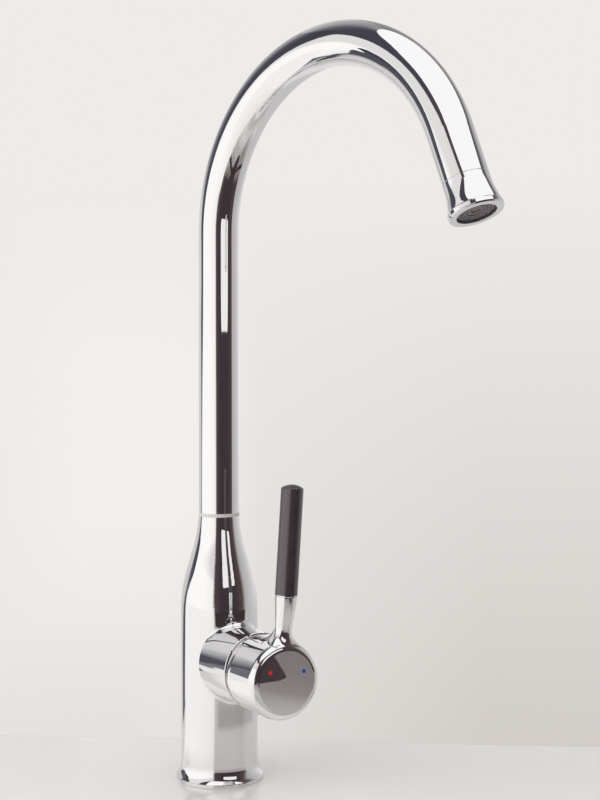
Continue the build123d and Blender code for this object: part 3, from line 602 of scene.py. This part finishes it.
def add_lights():
    """Put up the softboxes, the nearer backdrop, the front rim and the lamp."""
    side = upright(SIDE_PANEL_TURN, SIDE_PANEL_DISTANCE, SIDE_PANEL_OUTLINE)
    light_panel(
        "side softbox", side, SOFTBOX_WHITE, lighting=2.4, mirrored=1.2, pattern=side_pattern, rounded=0.05
    )
    near = upright(NEAR_BACKDROP_TURN, NEAR_BACKDROP_DISTANCE, NEAR_BACKDROP_OUTLINE)
    near_sheet = light_panel(
        "near backdrop", near, WARM_WHITE, lighting=0.4, mirrored=0.70, pattern=near_backdrop_pattern
    )
    near_sheet.visible_shadow = False
    for turn in FRONT_RIM_TURNS:
        rim = light_panel(
            "front rim", upright(turn, FRONT_RIM_DISTANCE, FRONT_RIM_OUTLINE), FRONT_RIM_COLOUR,
            lighting=0.04, mirrored=0.05, dim_colour=FRONT_RIM_COLOUR, clear_within=FRONT_RIM_CLEAR_WITHIN,
        )
        rim.visible_shadow = rim.visible_diffuse = False
    top = [studio_spot(right, nearer, TOP_PANEL_HEIGHT) for right, nearer in TOP_PANEL_OUTLINE]
    light_panel(
        "top softbox", top, TOP_WHITE, lighting=1.36, mirrored=1.17, pattern=top_pattern, rounded=0.08
    )
    lamp = upright(LAMP_TURN, LAMP_DISTANCE, LAMP_OUTLINE)
    light_panel("front lamp", lamp, WARM_WHITE, lighting=1.1, mirrored=1.05, rounded=0.06)


add_lights()


# ---- surroundings ----
BACKDROP_PALE = (0.858, 0.829, 0.804, 1.0)      # to the left and high
BACKDROP_BRIGHT = (0.897, 0.864, 0.838, 1.0)    # a soft glow on the left, at half height
BACKDROP_SHADED = (0.644, 0.610, 0.584, 1.0)    # low on the right, near the worktop
ROOM_DARK = (0.056, 0.042, 0.050, 1.0)
ROOM_BROWN = (0.100, 0.068, 0.063, 1.0)
ROOM_BLUE = (0.070, 0.066, 0.088, 1.0)
ROOM_LIGHT = (0.5, 0.495, 0.49, 1.0)            # what the surroundings give as light
MIRRORED_BACKDROP = (1.0, 0.985, 0.975, 1.0)

# Ramps for the camera's backdrop, by the line of sight: its rise in degrees, and its share to the right.
SHADE_RISE = (-15.5, 8.0, 1.0, 0.0)
SHADE_ASIDE = ((-0.10, -0.03, 0.12, 0.55), (-0.03, 0.14, 0.0, 0.45))
SHADE_LEFT = (-0.13, -0.03, 1.0, 0.0)
SHADE_LEFT_RISE = (-15.5, -11.0, 0.24, 0.0)
GLOW_RISE = ((-12.0, -6.0, 0.0, 1.0), (0.0, 7.0, 1.0, 0.0))
GLOW_ASIDE = ((-0.09, -0.03, 1.0, 0.0), (-0.24, -0.16, 0.0, 1.0))

# Ramps for the mirrored room, by the turn round the tap and the rise above its level, in degrees.
ROOM_MIDDLE = 32.0
ROOM_SIDES = (22.0, 44.0, 0.0, 1.0)
ROOM_BLUISH = ((-60.0, -20.0, 1.0, 0.0), (86.0, 96.0, 0.0, 1.0))
RIGHT_TONE, RIGHT_START = (84.0, 175.0, 0.45, 0.98), (78.0, 90.0, 0.0, 1.0)
RIGHT_TOP_FROM, RIGHT_TOP_TO, RIGHT_TOP_LEVEL = 28.0, 36.0, (112.0, 165.0, 0.12, 0.7)
RIGHT_BAND_RISE, RIGHT_BAND_FROM, RIGHT_BAND_TO, OFF_BAND_LEVEL = 1.0, 4.0, 12.0, (110.0, 165.0, 0.95, 0.68)
LEFT_TONES = ((-118.0, -104.0, 0.12, 0.0), (-150.0, -118.0, 0.73, 0.0))
LEFT_LOW_TURN, LEFT_LOW_RISE = (-124.0, -120.0, 0.62, 0.0), (-20.0, -12.0, 1.0, 0.0)
UPWARD_FADE = (15.0, 62.0, 1.0, 0.33)


def backdrop_seen(shader, heading):
    """Colour of the backdrop for the camera, from the direction of view."""
    rise, aside = shader.rise_of(heading), shader.dot(heading, TO_RIGHT)
    shade = shader.total(*shader.ramps(aside, *SHADE_ASIDE))
    shade = shader.product(shader.between(rise, *SHADE_RISE), shade)
    left = shader.product(shader.between(aside, *SHADE_LEFT), shader.between(rise, *SHADE_LEFT_RISE))
    seen = shader.blend(shader.total(left, shade), BACKDROP_PALE, BACKDROP_SHADED)
    bright = shader.product(*shader.ramps(rise, *GLOW_RISE), *shader.ramps(aside, *GLOW_ASIDE))
    return shader.blend(bright, seen, BACKDROP_BRIGHT)


def room_mirrored(shader, heading):
    """Colour of the surroundings in the plating: dark in front of the tap, pale behind it."""
    turn = shader.turn_of(shader.dot(heading, TO_RIGHT), shader.dot(heading, -AHEAD))
    rise = shader.rise_of(heading)

    # The room in front of the tap is browner at its sides.
    off_middle = shader.math("ABSOLUTE", shader.math("SUBTRACT", turn, ROOM_MIDDLE))
    room = shader.blend(shader.between(off_middle, *ROOM_SIDES), ROOM_DARK, ROOM_BROWN)
    bluish = shader.total(*shader.ramps(turn, *ROOM_BLUISH))
    room = shader.blend(bluish, room, ROOM_BLUE)

    # The backdrop behind it is dimmer on the right and fades upwards.
    top_level = shader.between(turn, *RIGHT_TOP_LEVEL)
    off_band = shader.math("ABSOLUTE", shader.math("SUBTRACT", rise, RIGHT_BAND_RISE))
    off_band_level = shader.between(turn, *OFF_BAND_LEVEL)
    right_level = shader.product(
        *shader.ramps(turn, RIGHT_TONE, RIGHT_START),
        shader.between(rise, RIGHT_TOP_FROM, RIGHT_TOP_TO, 1.0, top_level),
        shader.between(off_band, RIGHT_BAND_FROM, RIGHT_BAND_TO, 1.0, off_band_level),
    )
    left_level = shader.total(*shader.ramps(turn, *LEFT_TONES))
    left_low = shader.product(shader.between(turn, *LEFT_LOW_TURN), shader.between(rise, *LEFT_LOW_RISE))
    level = shader.math("MAXIMUM", right_level, shader.math("MAXIMUM", left_level, left_low))
    level = shader.product(level, shader.between(rise, *UPWARD_FADE))
    return shader.blend(level, room, MIRRORED_BACKDROP)


def make_world():
    """Pale backdrop for the camera, plain light, and the mirrored room for the plating."""
    world = bpy.data.worlds.new("studio")
    bpy.context.scene.world = world
    world.use_nodes = True
    shader = Shader(world.node_tree)
    shader.nodes.clear()
    heading = shader.add("ShaderNodeTexCoord").outputs["Generated"]
    path = shader.add("ShaderNodeLightPath")
    reflected = shader.math("MAXIMUM", path.outputs["Is Glossy Ray"], path.outputs["Is Transmission Ray"])
    colour = shader.blend(reflected, ROOM_LIGHT, room_mirrored(shader, heading))
    colour = shader.blend(path.outputs["Is Camera Ray"], colour, backdrop_seen(shader, heading))
    background = shader.add("ShaderNodeBackground")
    shader.feed(background.inputs["Color"], colour)
    out = shader.add("ShaderNodeOutputWorld")
    shader.feed(out.inputs["Surface"], background.outputs["Background"])


make_world()


# ---- worktop ----
FLOOR_HALF = 25.0
EDGE_BEHIND = 0.0803      # the worktop's far edge behind the tap
EDGE_SLANT = 0.070
EDGE_LINE = 0.0012
WORKTOP_WHITE, WORKTOP_EDGE = (0.83, 0.808, 0.782, 1.0), (0.68, 0.665, 0.64, 1.0)
WORKTOP_SHADED = (0.56, 0.54, 0.52, 1.0)
WORKTOP_SHEEN = (1.10, 1.085, 1.065, 1.0)
WORKTOP_ROUGHNESS, WORKTOP_IOR = 0.16, 1.6
FAR_FADE = (0.26, 0.8, 0.0, 1.0)
SHADE_RING = ((0.143, 0.163, 0.0, 1.0), (0.20, 0.28, 1.0, 0.0))
SHADE_TURN = (-6.0, 2.0, 0.0, 1.0)
SHEEN_TURN = ((-12.0, -9.0, 1.0, 0.0), (-118.0, -110.0, 0.0, 1.0), (-65.0, -12.0, 1.0, 0.5))
SHEEN_START = (0.02, 0.10, 0.0, 1.0)

# In the plating the worktop gives way to the dark room in front, by place to the right and by distance.
FRONT_TURN = -11.0
GONE_RIGHT = ((0.228, 0.29, 0.0, 0.56), (0.29, 0.35, 0.0, 0.08))
GONE_DISTANCE = ((0.24, 0.36, 0.0, 0.42), (0.40, 0.46, 0.0, 0.16))
GONE_FAR = (0.52, 0.85, 0.0, 0.6)
GONE_ASIDE = (-0.06, 0.06, 0.6, 1.0)
GAP_ACROSS = Vector((0.926, 0.379, 0.0))    # the dark part in the handle's face lies before both lines
GAP_REACH = 0.0151
GAP_Y = -0.363
GAP_ROUND = 0.012
GAP_SOFT = 0.002
GAP_STARTS_RIGHT = 0.25


def mirrored_end(shader, place, right, distance):
    """Share of the worktop that has given way to the dark room, as the plating sees it in front."""
    gone = shader.total(*shader.ramps(right, *GONE_RIGHT))
    fade = shader.total(*shader.ramps(distance, *GONE_DISTANCE))
    fade = shader.product(fade, shader.between(right, *GONE_ASIDE))
    fade = shader.total(fade, shader.between(distance, *GONE_FAR))
    gone = shader.math("MAXIMUM", gone, fade)
    beside, before = (
        shader.math("MAXIMUM", shader.math("SUBTRACT", shader.dot(place, axis), reach - GAP_ROUND), 0.0)
        for axis, reach in ((GAP_ACROSS, GAP_REACH), ((0, 1, 0), GAP_Y))
    )
    from_corner = shader.math(
        "SQRT", shader.total(shader.product(beside, beside), shader.product(before, before))
    )
    gap = shader.between(from_corner, GAP_ROUND, GAP_ROUND + GAP_SOFT, 1.0, 0.0)
    gap = shader.product(gap, shader.math("GREATER_THAN", right, GAP_STARTS_RIGHT))
    return shader.math("MAXIMUM", gone, gap)


def make_worktop_material():
    """White worktop that runs into the backdrop; the plating sees it end behind the tap and in front."""
    material, shader, output = new_stage_material("white worktop")
    place = shader.place()
    nearer, right = shader.dot(place, -AHEAD), shader.dot(place, TO_RIGHT)
    distance = shader.vector("LENGTH", place)
    turn = shader.turn_of(right, nearer)
    before_edge = shader.math("MULTIPLY_ADD", right, -EDGE_SLANT, nearer)
    past_edge = shader.math("SUBTRACT", -EDGE_BEHIND, before_edge)
    beyond = shader.math("GREATER_THAN", past_edge, 0.0)
    path = shader.add("ShaderNodeLightPath").outputs

    # A fine line marks the far edge. The plating sees a soft shade a little way in front of the tap.
    line = shader.between(shader.math("ABSOLUTE", past_edge), 0.0, EDGE_LINE, 1.0, 0.0)
    shade = shader.product(
        *shader.ramps(distance, *SHADE_RING), shader.between(turn, *SHADE_TURN), path["Is Glossy Ray"]
    )
    top = shader.add("ShaderNodeBsdfPrincipled")
    top.inputs["Roughness"].default_value = WORKTOP_ROUGHNESS
    top.inputs["IOR"].default_value = WORKTOP_IOR
    colour = shader.blend(line, WORKTOP_WHITE, WORKTOP_EDGE)
    shader.feed(top.inputs["Base Color"], shader.blend(shade, colour, WORKTOP_SHADED))

    # The camera sees the backdrop beyond the far edge and far away.
    far = shader.math("MAXIMUM", beyond, shader.between(distance, *FAR_FADE))
    away = shader.vector("NORMALIZE", shader.vector("SUBTRACT", place, CAMERA_PLACE))
    backdrop = shader.glow(backdrop_seen(shader, away))
    seen = shader.mix(shader.product(far, path["Is Camera Ray"]), top.outputs["BSDF"], backdrop)

    # On the left the plating sees the side softbox mirrored in the worktop.
    sheen = shader.product(
        *shader.ramps(turn, *SHEEN_TURN), shader.between(distance, *SHEEN_START), path["Is Glossy Ray"]
    )
    seen = shader.mix(sheen, seen, shader.glow(WORKTOP_SHEEN))

    # Beyond the far edge, and where it has ended in front, the plating sees through it.
    in_front = shader.product(
        shader.math("GREATER_THAN", turn, FRONT_TURN), shader.math("GREATER_THAN", nearer, 0.0)
    )
    ended = shader.product(in_front, mirrored_end(shader, place, right, distance))
    ended = shader.product(shader.math("MAXIMUM", beyond, ended), path["Is Glossy Ray"])
    shader.feed(output, shader.mix(ended, seen, shader.clear()))
    return material


FLOOR_CORNERS = ((-1, 1), (1, 1), (1, -1), (-1, -1))
stage_sheet(
    "worktop",
    [studio_spot(right * FLOOR_HALF, nearer * FLOOR_HALF, 0.0) for right, nearer in FLOOR_CORNERS],
    make_worktop_material(),
)


# ---- camera ----
def make_camera():
    data = bpy.data.cameras.new("photograph")
    data.lens = CAMERA_LENS
    data.sensor_width = CAMERA_FILM
    data.sensor_fit = "AUTO"
    data.clip_start = CAMERA_CLIP
    camera = bpy.data.objects.new("photograph", data)
    bpy.context.scene.collection.objects.link(camera)
    pitch = radians(CAMERA_PITCH)
    aim = AHEAD * cos(pitch) + UP * sin(pitch)
    turned = aim.to_track_quat("-Z", "Y").to_matrix().to_4x4()
    camera.matrix_world = Matrix.Translation(CAMERA_PLACE) @ turned
    bpy.context.scene.camera = camera


make_camera()
bpy.context.scene.view_settings.view_transform = "Standard"
